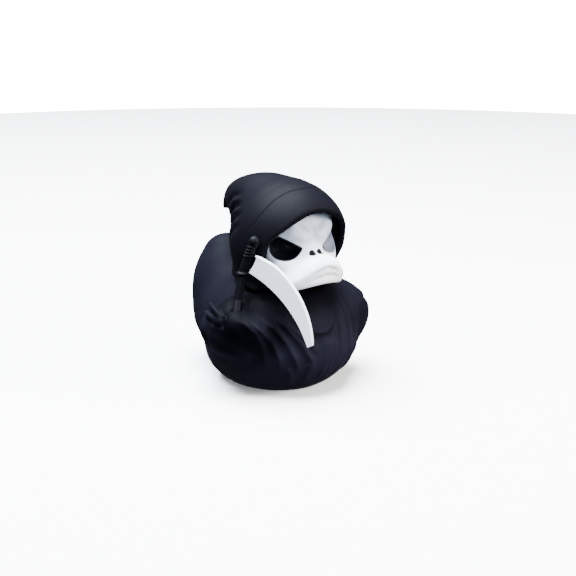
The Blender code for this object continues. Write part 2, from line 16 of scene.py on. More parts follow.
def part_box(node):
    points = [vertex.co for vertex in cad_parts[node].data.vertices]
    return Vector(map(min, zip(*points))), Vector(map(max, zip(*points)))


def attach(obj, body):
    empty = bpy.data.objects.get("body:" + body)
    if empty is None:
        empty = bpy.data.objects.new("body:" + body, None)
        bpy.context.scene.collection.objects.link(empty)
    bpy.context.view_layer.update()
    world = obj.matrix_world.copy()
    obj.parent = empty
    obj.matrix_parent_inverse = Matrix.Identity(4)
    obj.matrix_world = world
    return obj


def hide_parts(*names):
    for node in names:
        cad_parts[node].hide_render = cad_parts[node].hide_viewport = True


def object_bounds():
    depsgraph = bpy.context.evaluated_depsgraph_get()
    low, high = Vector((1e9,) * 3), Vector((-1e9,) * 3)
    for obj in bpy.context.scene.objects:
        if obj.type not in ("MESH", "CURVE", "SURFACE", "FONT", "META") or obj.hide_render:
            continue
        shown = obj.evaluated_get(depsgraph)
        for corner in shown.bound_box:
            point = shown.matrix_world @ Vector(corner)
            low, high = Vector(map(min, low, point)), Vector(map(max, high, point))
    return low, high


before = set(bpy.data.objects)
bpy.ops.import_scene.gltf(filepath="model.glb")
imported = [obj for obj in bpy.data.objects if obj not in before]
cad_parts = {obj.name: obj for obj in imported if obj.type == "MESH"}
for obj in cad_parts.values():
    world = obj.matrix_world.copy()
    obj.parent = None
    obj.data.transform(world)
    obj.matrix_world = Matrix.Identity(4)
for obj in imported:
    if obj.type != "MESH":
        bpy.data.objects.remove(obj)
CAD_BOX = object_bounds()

MM = 0.001
GAP = 0.3
HOOD_WALL = 2.2
SNATH_RADIUS = 1.8
KNOB_RADIUS = 2.2
SPINE_HALF = 1.0
EDGE_HALF = 0.55
COARSE = 1.0
ROBE_CELL = 0.56 * COARSE
HOOD_CELL = 0.56 * COARSE
SKULL_CELL = 0.40 * COARSE
SNATH_CELL = 0.26 * COARSE


class Ball:
    """An ellipsoid of three half sizes."""

    def __init__(self, centre, half):
        self.centre = np.array(centre, float)
        self.half = np.array(half, float)

    def distance(self, points):
        local = points - self.centre
        near = np.linalg.norm(local / self.half, axis=1)
        steep = np.linalg.norm(local / self.half ** 2, axis=1)
        return near * (near - 1.0) / np.maximum(steep, 1e-6)

    def add_to(self, mesh, swell=0.0):
        place = Matrix.Translation(Vector(self.centre)) @ Matrix.Diagonal([*(self.half + swell), 1.0])
        bmesh.ops.create_icosphere(mesh, subdivisions=4, radius=1.0, matrix=place)

    def mirrored(self):
        return Ball(self.centre * (-1, 1, 1), self.half)


class Slab:
    """A flat disc with an oval plan and edges rounded over a reach."""

    def __init__(self, centre, half, edge):
        self.centre = np.array(centre, float)
        self.half = np.array(half, float)
        self.edge = edge

    def distance(self, points):
        local = points - self.centre
        near = np.linalg.norm(local[:, :2] / self.half[:2], axis=1)
        steep = np.linalg.norm(local[:, :2] / self.half[:2] ** 2, axis=1)
        rim = near * (near - 1.0) / np.maximum(steep, 1e-6)
        return keep(rim, np.abs(local[:, 2]) - self.half[2], self.edge)

    def add_to(self, mesh, swell=0.0):
        place = Matrix.Translation(Vector(self.centre)) @ Matrix.Diagonal([*(self.half + swell), 1.0])
        bmesh.ops.create_icosphere(mesh, subdivisions=4, radius=1.0, matrix=place)


class Limb:
    """A row of balls (x, y, z, radius) joined by tapering necks."""

    def __init__(self, *stations):
        self.stations = np.array(stations, float)

    def distance(self, points):
        nearest = np.full(len(points), np.inf)
        for first, last in zip(self.stations[:-1], self.stations[1:]):
            along = last[:3] - first[:3]
            share = (points - first[:3]) @ along / (along @ along)
            share = np.clip(share, 0.0, 1.0)
            axis_point = first[:3] + share[:, None] * along
            radius = first[3] + share * (last[3] - first[3])
            gap = np.linalg.norm(points - axis_point, axis=1) - radius
            nearest = np.minimum(nearest, gap)
        return nearest

    def add_to(self, mesh, swell=0.0):
        for first, last in zip(self.stations[:-1], self.stations[1:]):
            length = np.linalg.norm(last[:3] - first[:3])
            steps = max(2, int(math.ceil(length / (0.4 * min(first[3], last[3])))))
            for step in range(steps + 1):
                spot = first + (last - first) * step / steps
                place = Matrix.Translation(Vector(spot[:3]))
                bmesh.ops.create_icosphere(mesh, subdivisions=2, radius=spot[3] + swell, matrix=place)

    def mirrored(self):
        return Limb(*(self.stations * (-1, 1, 1, 1)))

    def turned(self, degrees, inward):
        """The same limb moved inward and then round the upright axis."""
        turn = math.radians(degrees)
        x, y, z, radius = self.stations.T
        reach = np.hypot(x, y)
        x, y = x * (1 - inward / reach), y * (1 - inward / reach)
        across = x * math.cos(turn) - y * math.sin(turn)
        ahead = x * math.sin(turn) + y * math.cos(turn)
        return Limb(*np.stack([across, ahead, z, radius], axis=1))


def flowing(stations, pieces=8):
    """A limb whose balls follow a smooth curve through the given stations."""
    knots = np.array(stations, float)
    padded = np.vstack([2 * knots[0] - knots[1], knots, 2 * knots[-1] - knots[-2]])
    path = []
    for before, first, last, after in zip(padded, padded[1:], padded[2:], padded[3:]):
        for step in range(pieces):
            t = step / pieces
            bend = 2 * before - 5 * first + 4 * last - after
            twist = -before + 3 * first - 3 * last + after
            path.append(0.5 * (2 * first + (last - before) * t + bend * t * t + twist * t ** 3))
    return Limb(*path, knots[-1])


def walk(path, points):
    """Distance of each point to a path, and the share of the path's run where it is nearest."""
    spans = np.linalg.norm(np.diff(path, axis=0), axis=1)
    nearest = np.full(len(points), np.inf)
    travelled = np.zeros(len(points))
    walked = 0.0
    for first, last, span in zip(path[:-1], path[1:], spans):
        along = last - first
        share = np.clip((points - first) @ along / (span * span), 0.0, 1.0)
        off = np.linalg.norm(points - first - share[:, None] * along, axis=1)
        travelled = np.where(off < nearest, walked + share * span, travelled)
        nearest = np.minimum(nearest, off)
        walked += span
    return nearest, travelled / walked


class Crease:
    """A ridge (or a valley) along a path in space, for relief that wraps round a form."""

    FIRST = 0.25
    PROFILE = 1.6

    def __init__(self, path, rise, width, last=0.25):
        self.path = np.array(path, float)
        self.rise = rise
        self.width = width
        self.last = last

    def lift(self, points):
        nearest, part = walk(self.path, points)
        fade = ramp(part, 0.0, self.FIRST)
        if self.last:
            fade = fade * ramp(1.0 - part, 0.0, self.last)
        return self.rise * fade * np.exp(-(nearest / self.width) ** self.PROFILE)

    def mirrored(self, slip=0.0):
        return Crease(self.path * (-1, 1, 1) + (0, slip, slip), self.rise, self.width, self.last)


class Fold:
    """A ridge (or, with a negative rise, a valley) that runs over the robe.

    Its path holds bearings, in degrees from straight ahead towards the duck's left,
    with heights.  The ridge dies away at both ends.
    """

    SPREAD = 0.59
    FIRST = 0.22
    LAST = 0.3
    PROFILE = 1.3

    def __init__(self, path, rise, width):
        self.path = np.array(path, float) * (self.SPREAD, 1.0)
        self.rise = rise
        self.width = width

    def lift(self, bearing, height):
        nearest, part = walk(self.path, np.stack([bearing * self.SPREAD, height], axis=1))
        ends = ramp(part, 0.0, self.FIRST) * ramp(1.0 - part, 0.0, self.LAST)
        return self.rise * ends * np.exp(-(nearest / self.width) ** self.PROFILE)


def join(a, b, reach):
    """Union of two distances, rounded over a reach."""
    mix = np.maximum(reach - np.abs(a - b), 0.0) / reach
    return np.minimum(a, b) - mix * mix * reach * 0.25


def cut(a, b, reach):
    """What is inside a and outside b, with the edge rounded over a reach."""
    return -join(-a, b, reach)


def keep(a, b, reach):
    """What is inside both, with the edge rounded over a reach."""
    return -join(-a, -b, reach)


def blend(masses, points, reach):
    total = masses[0].distance(points)
    for mass in masses[1:]:
        total = join(total, mass.distance(points), reach)
    return total


def ramp(value, low, high):
    share = np.clip((value - low) / (high - low), 0.0, 1.0)
    return share * share * (3.0 - 2.0 * share)


# The robe and the duck's body under it
HULL = Ball((0, -5.5, 18), (31.5, 34.5, 20))
KEEL = Ball((0, -1.5, 11), (26.5, 27.5, 14))
CHEST = Ball((0, -9, 28), (26.5, 26, 20))
BACK = Ball((0, 8, 28), (25, 24, 18))
TAIL = flowing([(0, 25, 25, 20.5), (0, 29.5, 36, 17.7), (0, 33, 46, 11.5)])
SLEEVE = Limb((-20, -17, 28, 13.5), (-24, -11.5, 26, 16), (-28, -3, 26, 10))
CUFF = Limb((-27, -22, 30, 8.0), (-32.5, -19, 32, 6.0))
CUFF_MOUTH = Limb((-38.4, -13.5, 33.4, 3.0), (-35.4, -16.5, 33, 3.4))
PALM = Limb((-33, -18.5, 29.6, 2.6), (-36.4, -13.5, 32.8, 3.0))
UPPER_FINGER = Limb((-36.4, -13.2, 35.1, 1.6), (-35.9, -7.2, 37.5, 1.4), (-33.4, -1.3, 37.7, 1.0))
MIDDLE_FINGER = Limb((-37.2, -12.2, 33.1, 1.7), (-37.2, -6.0, 34.3, 1.5), (-34.8, -0.3, 34.0, 1.0))
THUMB = Limb((-37.2, -16.0, 30.6, 1.7), (-38.2, -11.2, 30.5, 1.5), (-36.8, -5.7, 30.8, 1.1))
LEFT_ARM_TURN = 18.0
LEFT_ARM_INWARD = 2.5

SEAT_HEIGHT = 46.0
SEAT_DIP = 4.0
COWL_STEP = 1.2

# Folds that run down from the right sleeve, which is drawn in round the shaft
RIGHT_FOLDS = [
    Fold([(-60, 36.0), (-52, 34.5), (-46, 31.0), (-43, 25.0), (-42, 18), (-43, 11)], 1.5, 1.5),
    Fold([(-52, 37.0), (-43, 32.0), (-37, 25.5), (-33, 19), (-32, 11)], 1.5, 1.4),
    Fold([(-46, 38.0), (-36, 32.0), (-28, 25.0), (-23, 18), (-20, 10)], 1.5, 1.4),
    Fold([(-39, 38.0), (-28, 31.5), (-19, 24.5), (-13, 17), (-10, 9)], 1.3, 1.4),
    Fold([(-33, 36.5), (-23, 30.5), (-14, 25.0), (-8, 19)], 1.0, 1.2),
    Fold([(-95, 25.0), (-80, 21.5), (-64, 20.5), (-52, 18.0)], -1.6, 3.2),
]
# Folds that fan out from the left shoulder
LEFT_FOLDS = [
    Fold([(24, 42.0), (22, 35.0), (18, 27.0), (14, 18), (12, 9)], 1.1, 1.3),
    Fold([(31, 42.0), (29, 35.0), (27, 27.0), (22, 18), (19, 9)], 1.2, 1.3),
    Fold([(38, 41.5), (37, 35.0), (37, 28.0), (32, 18), (28, 9)], 1.2, 1.3),
    Fold([(44, 41.0), (45, 35.0), (48, 28.0), (45, 19), (38, 10)], 1.2, 1.4),
    Fold([(51, 40.0), (55, 34.0), (61, 27.0), (62, 19), (56, 11)], 1.0, 1.5),
    Fold([(60, 38.0), (68, 32.0), (78, 27.0), (84, 22)], 0.8, 1.7),
    Fold([(95, 25.0), (84, 21.0), (72, 18.0), (62, 15.0)], -1.3, 3.2),
]
# The rolled neckline and the upright folds below it
FRONT_FOLDS = [
    Fold(
        [(-66, 44), (-52, 43), (-39, 40.8), (-31, 38), (-24, 34.7), (-18, 31.8), (-12, 29.6), (-6, 28.4)]
        + [(-1, 28.5), (3, 29.8), (7, 32), (11, 34.7), (15, 37.4), (22, 42)],
        1.1,
        1.7,
    ),
    Fold([(10, 33.0), (8, 26.0), (6, 18.0), (6, 8)], 0.9, 1.2),
    Fold([(-1, 27.0), (-3, 20.0), (-4, 13.0), (-4, 5)], 0.8, 1.2),
    Fold([(17, 30.0), (14, 22.0), (11, 13.0), (10, 5)], 0.7, 1.1),
    Fold([(4, 27.0), (2, 20.0), (1, 12.0), (2, 4)], 0.7, 1.1),
    Fold([(27, 20.0), (24, 13.0), (22, 6)], 0.7, 1.2),
    Fold([(-14, 17.0), (-14, 11.0), (-13, 5)], 0.6, 1.2),
    Fold([(-27, 15.0), (-25, 10.0), (-24, 4)], 0.6, 1.3),
]


def both_sides(mass):
    return [mass, mass.mirrored()]


def both_arms(limb):
    """The right arm's limb, and the left arm's, which is held further back."""
    return [limb, limb.mirrored().turned(LEFT_ARM_TURN, LEFT_ARM_INWARD)]


HANDS = both_arms(PALM) + both_arms(UPPER_FINGER) + both_arms(MIDDLE_FINGER) + both_arms(THUMB)


def seat_height(points):
    """Height of the surface where the hood stands on the shoulders."""
    return SEAT_HEIGHT - SEAT_DIP * ramp(-points[:, 1], 0, 24)


def shoulders(points):
    f = blend([HULL, KEEL, CHEST, BACK], points, 8.0)
    for sleeve in both_sides(SLEEVE):
        f = join(f, sleeve.distance(points), 4.0)
    return f


def drapery(points):
    bearing = np.degrees(np.arctan2(points[:, 0], -points[:, 1]))
    height = points[:, 2]
    total = np.zeros(len(points))
    for fold in RIGHT_FOLDS + LEFT_FOLDS + FRONT_FOLDS:
        total += fold.lift(bearing, height)
    return total


def body_field(points):
    f = join(shoulders(points), TAIL.distance(points), 8.0)
    for cuff, mouth in zip(both_arms(CUFF), both_arms(CUFF_MOUTH)):
        f = join(f, cuff.distance(points), 2.5)
        f = cut(f, mouth.distance(points), 0.8)
    f = f - drapery(points)
    for finger in HANDS:
        f = join(f, finger.distance(points), 0.7)
    f = cut(f, hood_solid(points) - GAP, 0.4)
    f = cut(f, snath_field(points) - GAP, 0.3)
    f = cut(f, blade_plate(points) - GAP, 0.3)
    return cut(f, skull_field(points) - GAP, 0.4)


# The hood
DOME = Ball((0, -13, 64.2), (24.0, 24.4, 23.6))
PEAK = flowing(
    [
        (0, -8, 68.5, 20.0),
        (0, 2, 73.2, 16.2),
        (-1, 13, 76.0, 11.0),
        (-2, 21, 76.8, 6.2),
        (-3, 26.0, 73.6, 3.2),
        (-3.9, 29.0, 70.9, 0.9),
    ]
)
NAPE = Limb((0, -9, 60, 23), (0, -7, 50, 21))
RIM_LEVEL = 60.0
RIM_FRONT = -23.6
RIM_OVERHANG = 9.0
RIM_RISE = 13.0
RIM_SWEEP = 3.0
RIM_SWEEP_LEVEL = 66.0
RIM_SWEEP_REACH = 6.0
HOLLOW_BACK = -17.0
# The seam lies this far behind the rim, and further at the sides; it fades out below
SEAM_BACK = 9.8
SEAM_SIDE = 3.2
SEAM_SIDE_REACH = 20.0
SEAM_FADE = (66.0, 76.0)
SEAM_HALF = 0.28
HOOD_MOUTH = Ball((0, -32, 56), (21, 17, 19))

# Cloth gathered under the hood's point, on the right side and roughly mirrored
RIGHT_GATHERS = [
    Crease([(-4, 18, 68), (-9, 16, 72.5), (-12.8, 11, 79.4), (-13.4, 7.3, 80.5), (-13.8, 1.6, 82)], -1.1, 1.5),
    Crease([(-6, 12, 65), (-12, 10, 70), (-15.5, 5.9, 76.2), (-17.3, 0.5, 77.5), (-18.1, -4.2, 78.8)], -1.2, 1.5),
    Crease([(-11, 8, 63), (-17, 4, 68.5), (-19.8, -0.1, 73), (-20.7, -4.1, 74.4), (-20.3, -8, 76.2)], -1.1, 1.5),
    Crease([(-15, 5, 60), (-20, 1, 64.5), (-22.3, -2.6, 68.6), (-22.8, -6.2, 70.4), (-22.3, -9, 72.2)], -0.8, 1.5),
    Crease([(-6, 16, 66), (-12, 13, 73), (-14.4, 7.4, 78), (-15.3, 3.3, 79.2), (-15.7, -1.7, 80.8)], 0.7, 1.3),
    Crease([(-9, 10, 64), (-16, 6.5, 71), (-17.4, 3, 74.6), (-19.0, -1.8, 76.1), (-19.2, -5.7, 77.4)], 0.7, 1.3),
]
GATHERS = RIGHT_GATHERS + [crease.mirrored(1.0) for crease in RIGHT_GATHERS]


def gathered(points):
    total = np.zeros(len(points))
    for crease in GATHERS:
        total += crease.lift(points)
    return total


def rim_plane(points):
    """Negative ahead of the hood's front edge, which leans forward over the brow.

    Beside the eyes the edge sweeps back.
    """
    lean = RIM_OVERHANG * np.tanh((points[:, 2] - RIM_LEVEL) / RIM_RISE)
    sweep = RIM_SWEEP * np.exp(-((points[:, 2] - RIM_SWEEP_LEVEL) / RIM_SWEEP_REACH) ** 2)
    return points[:, 1] - RIM_FRONT + lean - sweep


def hood_outer(points):
    f = join(DOME.distance(points), PEAK.distance(points), 4.0)
    f = join(f, NAPE.distance(points), 5.0)
    return join(f, shoulders(points) - COWL_STEP, 6.0)


def hood_solid(points):
    """The hood down to its seat, with its front open and no skull in it yet."""
    f = cut(hood_outer(points) - gathered(points), rim_plane(points), 0.8)
    return keep(f, seat_height(points) + GAP - points[:, 2], 1.6)


def hood_field(points):
    inside = keep(DOME.distance(points) + HOOD_WALL, points[:, 1] - HOLLOW_BACK, 1.0)
    f = cut(hood_solid(points), inside, 0.8)
    return cut(f, skull_field(points) - GAP, 0.3)


# The skull face with its duck's bill
CRANIUM = Ball((0, -13, 65.5), (18.2, 15.8, 17.2))
CHEEK = Ball((-8.8, -18.2, 56), (8.8, 9.6, 7.5))
TEMPLE = Ball((-13.2, -18.4, 59.8), (4.4, 5.4, 5.6))
BRIDGE = Ball((0, -23.2, 60.2), (5.4, 6.2, 6.2))
BROW = Limb((-4.2, -25.6, 67.8, 3.6), (-8.2, -24.2, 70.2, 4.0), (-11.6, -20.2, 72.6, 3.6))
SOCKET = Ball((-12.4, -26.0, 63.4), (7.2, 6.6, 5.2))
BROW_LINE_START = (5.0, 62.2)
BROW_LINE_RISE = 0.6
NOSTRIL = Ball((-1.85, -29.8, 59.75), (1.35, 2.1, 1.75))
UPPER_BILL = Slab((0, -24, 56.4), (16.0, 14.6, 3.6), 5.0)
UPPER_DROP = 6.0
LOWER_BILL = Slab((0, -23.8, 50.6), (14.8, 13.4, 2.8), 3.0)
LOWER_DROP = 3.0
DROP_WIDTH = 13.0
LIP_LINES = [
    Crease([(-11.5, -31.3, 48.9), (-8.3, -34.3, 51.3), (-4.5, -36.8, 54.0), (0, -38.4, 55.3)], -0.6, 0.7, 0),
    Crease([(-11.0, -31.4, 47.9), (-8.0, -34.2, 49.8), (-4.3, -36.6, 51.3), (0, -37.6, 51.8)], -0.55, 0.7, 0),
]
LIP_LINES += [crease.mirrored() for crease in LIP_LINES]
NOSTRIL_RIM = Ball((-1.85, -28.9, 59.75), (1.95, 1.1, 2.3))
FROWN_LINES = [
    Crease([(0, -30.2, 62.5), (0, -29.6, 65.5), (0, -28.6, 69.0), (0, -27.5, 72)], -0.7, 1.3),
    Crease([(-2.5, -29.6, 65.2), (-5.5, -28.0, 67.6), (-9.0, -25.6, 69.8), (-12.5, -22.4, 71.6)], 0.7, 1.5),
    Crease([(-1.5, -29.0, 68.4), (-5.0, -27.4, 71.0), (-9.0, -24.8, 73.2)], -0.6, 1.4),
]
FROWN_LINES += [crease.mirrored() for crease in FROWN_LINES[1:]]
# Where the black paint ends on the left socket's wall
PAINT_EDGE = 3.0
# Distances and heights over which the painted shadows, the painted bounce light low on the robe and the painted grey
# of the socket walls fade
SHELTER_REACH = 4.2
CHEST_SHELTER = (3.0, 17.0)
LEFT_OPEN = 9.0
LEFT_OPEN_FROM = (5.0, 20.0)
LOW_TINT = (6.0, 30.0)
RECESS_TINT = (-0.1, 0.5)
# Darkest and usual colour of the black vinyl, and the paler colour painted on its crests as a painted highlight
BLUE_BLACKS = [(0.0026, 0.0025, 0.0044), (0.0042, 0.0040, 0.0070), (0.016, 0.016, 0.027)]
# Depths and heights over which the bill is painted whiter as painted light and the brow greyer as painted shade
BILL_TINT = (25.0, 32.0)
BILL_TOP = (57.0, 63.0)
BROW_TINT = (60.5, 67.0)


def hanging(mass, drop, points):
    """Distance to a mass whose two ends hang down by the drop."""
    bent = points.copy()
    bent[:, 2] += drop * (points[:, 0] / DROP_WIDTH) ** 2
    return mass.distance(bent)


def lines(points):
    """Relief of the lips and of the frown."""
    total = np.zeros(len(points))
    for crease in LIP_LINES + FROWN_LINES:
        total += crease.lift(points)
    return total


def under_brow(points):
    """Below the straight slanting edge of the brows."""
    rise = BROW_LINE_RISE * (np.abs(points[:, 0]) - BROW_LINE_START[0])
    return (points[:, 2] - BROW_LINE_START[1] - rise) / math.hypot(1.0, BROW_LINE_RISE)


def skull_field(points):
    f = CRANIUM.distance(points)
    for mass in both_sides(CHEEK) + both_sides(TEMPLE) + [BRIDGE]:
        f = join(f, mass.distance(points), 3.0)
    for brow in both_sides(BROW):
        f = join(f, brow.distance(points), 2.5)
    bill = join(hanging(UPPER_BILL, UPPER_DROP, points), hanging(LOWER_BILL, LOWER_DROP, points), 3.2)
    f = join(f, bill, 2.5) - lines(points)
    for socket in both_sides(SOCKET):
        f = cut(f, keep(socket.distance(points), under_brow(points), 0.6), 0.5)
    for nostril, rim in zip(both_sides(NOSTRIL), both_sides(NOSTRIL_RIM)):
        f = join(f, rim.distance(points), 0.7)
        f = cut(f, nostril.distance(points), 0.3)
    return f


def socket_walls(points):
    """Negative on the walls of the right and the left socket."""
    return [keep(eye.distance(points), under_brow(points), 0.6) - 0.3 for eye in both_sides(SOCKET)]


def painted(points):
    """Negative on what is painted black: the nostrils and the sockets.

    The paint stops short of the left socket's outer wall.
    """
    right, left = socket_walls(points)
    deep = points - SOCKET.mirrored().centre
    inner = PAINT_EDGE + deep[:, 0] * 0.9 - deep[:, 1] * 0.45
    f = np.minimum(right, keep(left, inner, 0.5))
    for nostril in both_sides(NOSTRIL):
        f = np.minimum(f, nostril.distance(points) - 0.2)
    return f


# The scythe, whose shaft leans along the hood's right side
SHAFT = [
    (-33.0, -19.0, 35.2),
    (-30.0, -16.1, 42.0),
    (-27.6, -16.6, 53.2),
    (-26.4, -18.8, 60.6),
    (-25.4, -21.6, 67.2),
]
SHAFT_LIMB = Limb(*[(*spot, SNATH_RADIUS) for spot in SHAFT])
KNOB = Ball(SHAFT[4], (KNOB_RADIUS, KNOB_RADIUS, KNOB_RADIUS))
COLLAR = Ball(SHAFT[2], (SNATH_RADIUS + 0.9, SNATH_RADIUS + 0.9, 1.1))
BINDING_TURNS = 4
BINDING_RISE = 0.45
BINDING_HALF = 0.75
BLADE_ROOT = np.array((-26.8, -17.65, 0.0))
BLADE_BEARING = -61.6
OUTER_ARC = (-11.1, 24.5, 41.2, 61.0, 2.0)
INNER_ARC = (-19.1, 8.7, 49.4, 65.5, 18.8)
HEEL_TOP = (4.2, 61.1)
HEEL_SHARE = 0.125
BLADE_FOOT = 20.0
BLADE_STATIONS = 60
BLADE_ACROSS = 10


def bindings():
    """The cords wound round the shaft above the blade."""
    low, high = np.array(SHAFT[3]), np.array(SHAFT[4])
    size = (SNATH_RADIUS + BINDING_RISE, SNATH_RADIUS + BINDING_RISE, BINDING_HALF)
    shares = [(turn + 0.25) / (BINDING_TURNS + 1) for turn in range(BINDING_TURNS)]
    return [Ball(low + (high - low) * share, size) for share in shares]


BINDINGS = bindings()


def snath_field(points):
    f = join(SHAFT_LIMB.distance(points), KNOB.distance(points), 0.5)
    for ring in [COLLAR] + BINDINGS:
        f = join(f, ring.distance(points), 0.25)
    return f


def blade_axes():
    turn = math.radians(BLADE_BEARING)
    along = np.array((math.cos(turn), math.sin(turn), 0.0))
    out = np.array((math.sin(turn), -math.cos(turn), 0.0))
    return along, out


def on_arc(arc, share):
    """Point of an arc (centre, radius, first and last angle) at a share of its run."""
    across, up, radius, first, last = arc
    angle = math.radians(first + (last - first) * share)
    return np.array((across + radius * math.cos(angle), up + radius * math.sin(angle)))


def blade_plate(points):
    """A flat slab that holds the blade's plan, for the clearances round it."""
    along, out = blade_axes()
    local = points - BLADE_ROOT
    across, up, off = local @ along, points[:, 2], local @ out
    outer = np.hypot(across - OUTER_ARC[0], up - OUTER_ARC[1]) - OUTER_ARC[2]
    inner = np.hypot(across - INNER_ARC[0], up - INNER_ARC[1]) - INNER_ARC[2]
    plan = np.maximum(outer, -inner)
    return np.maximum(np.maximum(plan, BLADE_FOOT - up), np.maximum(np.abs(off) - SPINE_HALF, -across))


# A point this near to the surface, in steps, has come to rest
SETTLED = 0.004


def slope(field, points, reach=0.05):
    """Value and gradient of a field, from four samples round each point."""
    corners = np.array([(1, -1, -1), (-1, -1, 1), (-1, 1, -1), (1, 1, 1)], float)
    gradient = np.zeros_like(points)
    total = np.zeros(len(points))
    for corner in corners:
        value = field(points + corner * reach)
        gradient += value[:, None] * corner
        total += value
    return total / 4, gradient / (4 * reach)


def press(mesh, field, rounds, stride=1.5):
    """Move a mesh's vertices onto the zero surface of a field."""
    places = np.empty(len(mesh.vertices) * 3)
    mesh.vertices.foreach_get("co", places)
    points = places.reshape(-1, 3)
    moving = np.arange(len(points))
    for _ in range(rounds):
        value, gradient = slope(field, points[moving])
        move = value[:, None] * gradient / np.maximum((gradient ** 2).sum(axis=1), 0.25)[:, None]
        length = np.linalg.norm(move, axis=1)
        move *= np.minimum(1.0, stride / np.maximum(length, 1e-9))[:, None]
        points[moving] -= move
        moving = moving[np.abs(value) > SETTLED]
    mesh.vertices.foreach_set("co", points.ravel())
    mesh.update()


def scaffold(name, masses, swell=0.0):
    builder = bmesh.new()
    for mass in masses:
        mass.add_to(builder, swell)
    return object_from(builder, name)


def carve(item, tool_item):
    tool = item.modifiers.new("Boolean", "BOOLEAN")
    tool.operation = "DIFFERENCE"
    tool.object = tool_item
    settle(item)


def object_from(builder, name):
    mesh = bpy.data.meshes.new(name)
    builder.to_mesh(mesh)
    builder.free()
    item = bpy.data.objects.new(name, mesh)
    bpy.context.collection.objects.link(item)
    return item


def settle(item):
    """Replace an object's mesh by what its modifiers make of it."""
    graph = bpy.context.evaluated_depsgraph_get()
    made = bpy.data.meshes.new_from_object(item.evaluated_get(graph))
    item.modifiers.clear()
    old = item.data
    item.data = made
    bpy.data.meshes.remove(old)


def remesh(item, cell):
    tool = item.modifiers.new("Remesh", "REMESH")
    tool.mode = "VOXEL"
    tool.voxel_size = cell
    settle(item)


def relax(item, rounds):
    tool = item.modifiers.new("Smooth", "SMOOTH")
    tool.factor = 0.5
    tool.iterations = rounds
    settle(item)


def moulded(name, masses, field, cell, hollow=None):
    """Scaffold, remesh, and press onto the field, first at a coarse cell and then at a fine one."""
    item = scaffold(name, masses)
    first = cell * 2.2
    remesh(item, first)
    if hollow is not None:
        remesh(hollow, first)
        carve(item, hollow)
        bpy.data.objects.remove(hollow, do_unlink=True)
        remesh(item, first)
    press(item.data, field, 5)
    relax(item, 1)
    remesh(item, first)
    press(item.data, field, 3)
    for _ in range(2):
        remesh(item, cell)
        relax(item, 2)
        press(item.data, field, 3)
    return item


def stand_flat(item):
    """Cut a piece off flat at the ground and close it."""
    builder = bmesh.new()
    builder.from_mesh(item.data)
    parts = builder.verts[:] + builder.edges[:] + builder.faces[:]
    bmesh.ops.bisect_plane(builder, geom=parts, plane_co=(0, 0, 0), plane_no=(0, 0, -1), clear_outer=True)
    rim = [edge for edge in builder.edges if edge.is_boundary]
    bmesh.ops.edgeloop_fill(builder, edges=rim)
    bmesh.ops.triangulate(builder, faces=[f for f in builder.faces if len(f.verts) > 4])
    builder.to_mesh(item.data)
    builder.free()


def blade():
    """A flat crescent between two arcs, thick along its spine and thin at its edge."""
    builder = bmesh.new()
    bmesh.ops.create_grid(builder, x_segments=BLADE_STATIONS, y_segments=BLADE_ACROSS, size=0.5)
    along, out = blade_axes()
    half = {}
    for vert in builder.verts:
        run, rise = vert.co.x + 0.5, vert.co.y + 0.5
        plan = on_arc(INNER_ARC, run) * (1.0 - rise) + on_arc(OUTER_ARC, run) * rise
        heel = max(0.0, 1.0 - run / HEEL_SHARE) * rise
        plan = plan * (1.0 - heel) + np.array(HEEL_TOP) * heel
        place = BLADE_ROOT + along * plan[0] + np.array((0.0, 0.0, plan[1]))
        half[vert.index] = EDGE_HALF + (SPINE_HALF - EDGE_HALF) * rise
        vert.co = Vector(place)
    front = builder.verts[:]
    made = bmesh.ops.extrude_face_region(builder, geom=builder.faces[:])
    back = [item for item in made["geom"] if isinstance(item, bmesh.types.BMVert)]
    for vert, twin in zip(front, back):
        reach = Vector(out) * half[vert.index]
        vert.co -= reach
        twin.co += reach
    bmesh.ops.recalc_face_normals(builder, faces=builder.faces[:])
    crease = [edge for edge in builder.edges if edge.calc_face_angle(0.0) > math.radians(40)]
    bmesh.ops.bevel(builder, geom=crease, offset=0.28, segments=3, profile=0.5, affect="EDGES", material=-1)
    return object_from(builder, "blade")


def mark(item, name, values):
    """Store a number at every vertex, for a material to read."""
    layer = item.data.attributes.new(name, "FLOAT", "POINT")
    layer.data.foreach_set("value", np.asarray(values, np.float32))


def places(item):
    flat = np.empty(len(item.data.vertices) * 3)
    item.data.vertices.foreach_get("co", flat)
    return flat.reshape(-1, 3)


class Wire:
    """A shader value: arithmetic on it adds Math nodes to its sheet."""

    def __init__(self, sheet, socket):
        self.sheet = sheet
        self.socket = socket

    def math(self, operation, *others):
        return self.sheet.node("ShaderNodeMath", {"operation": operation}, self, *others)

    def __add__(self, other):
        return self.math("ADD", other)

    def __sub__(self, other):
        return self.math("SUBTRACT", other)

    def __rsub__(self, other):
        return self.sheet.node("ShaderNodeMath", {"operation": "SUBTRACT"}, other, self)

    def __mul__(self, other):
        return self.math("MULTIPLY", other)

    def __truediv__(self, other):
        return self.math("DIVIDE", other)

    def exp(self):
        return self.math("EXPONENT")

    __radd__ = __add__
    __rmul__ = __mul__


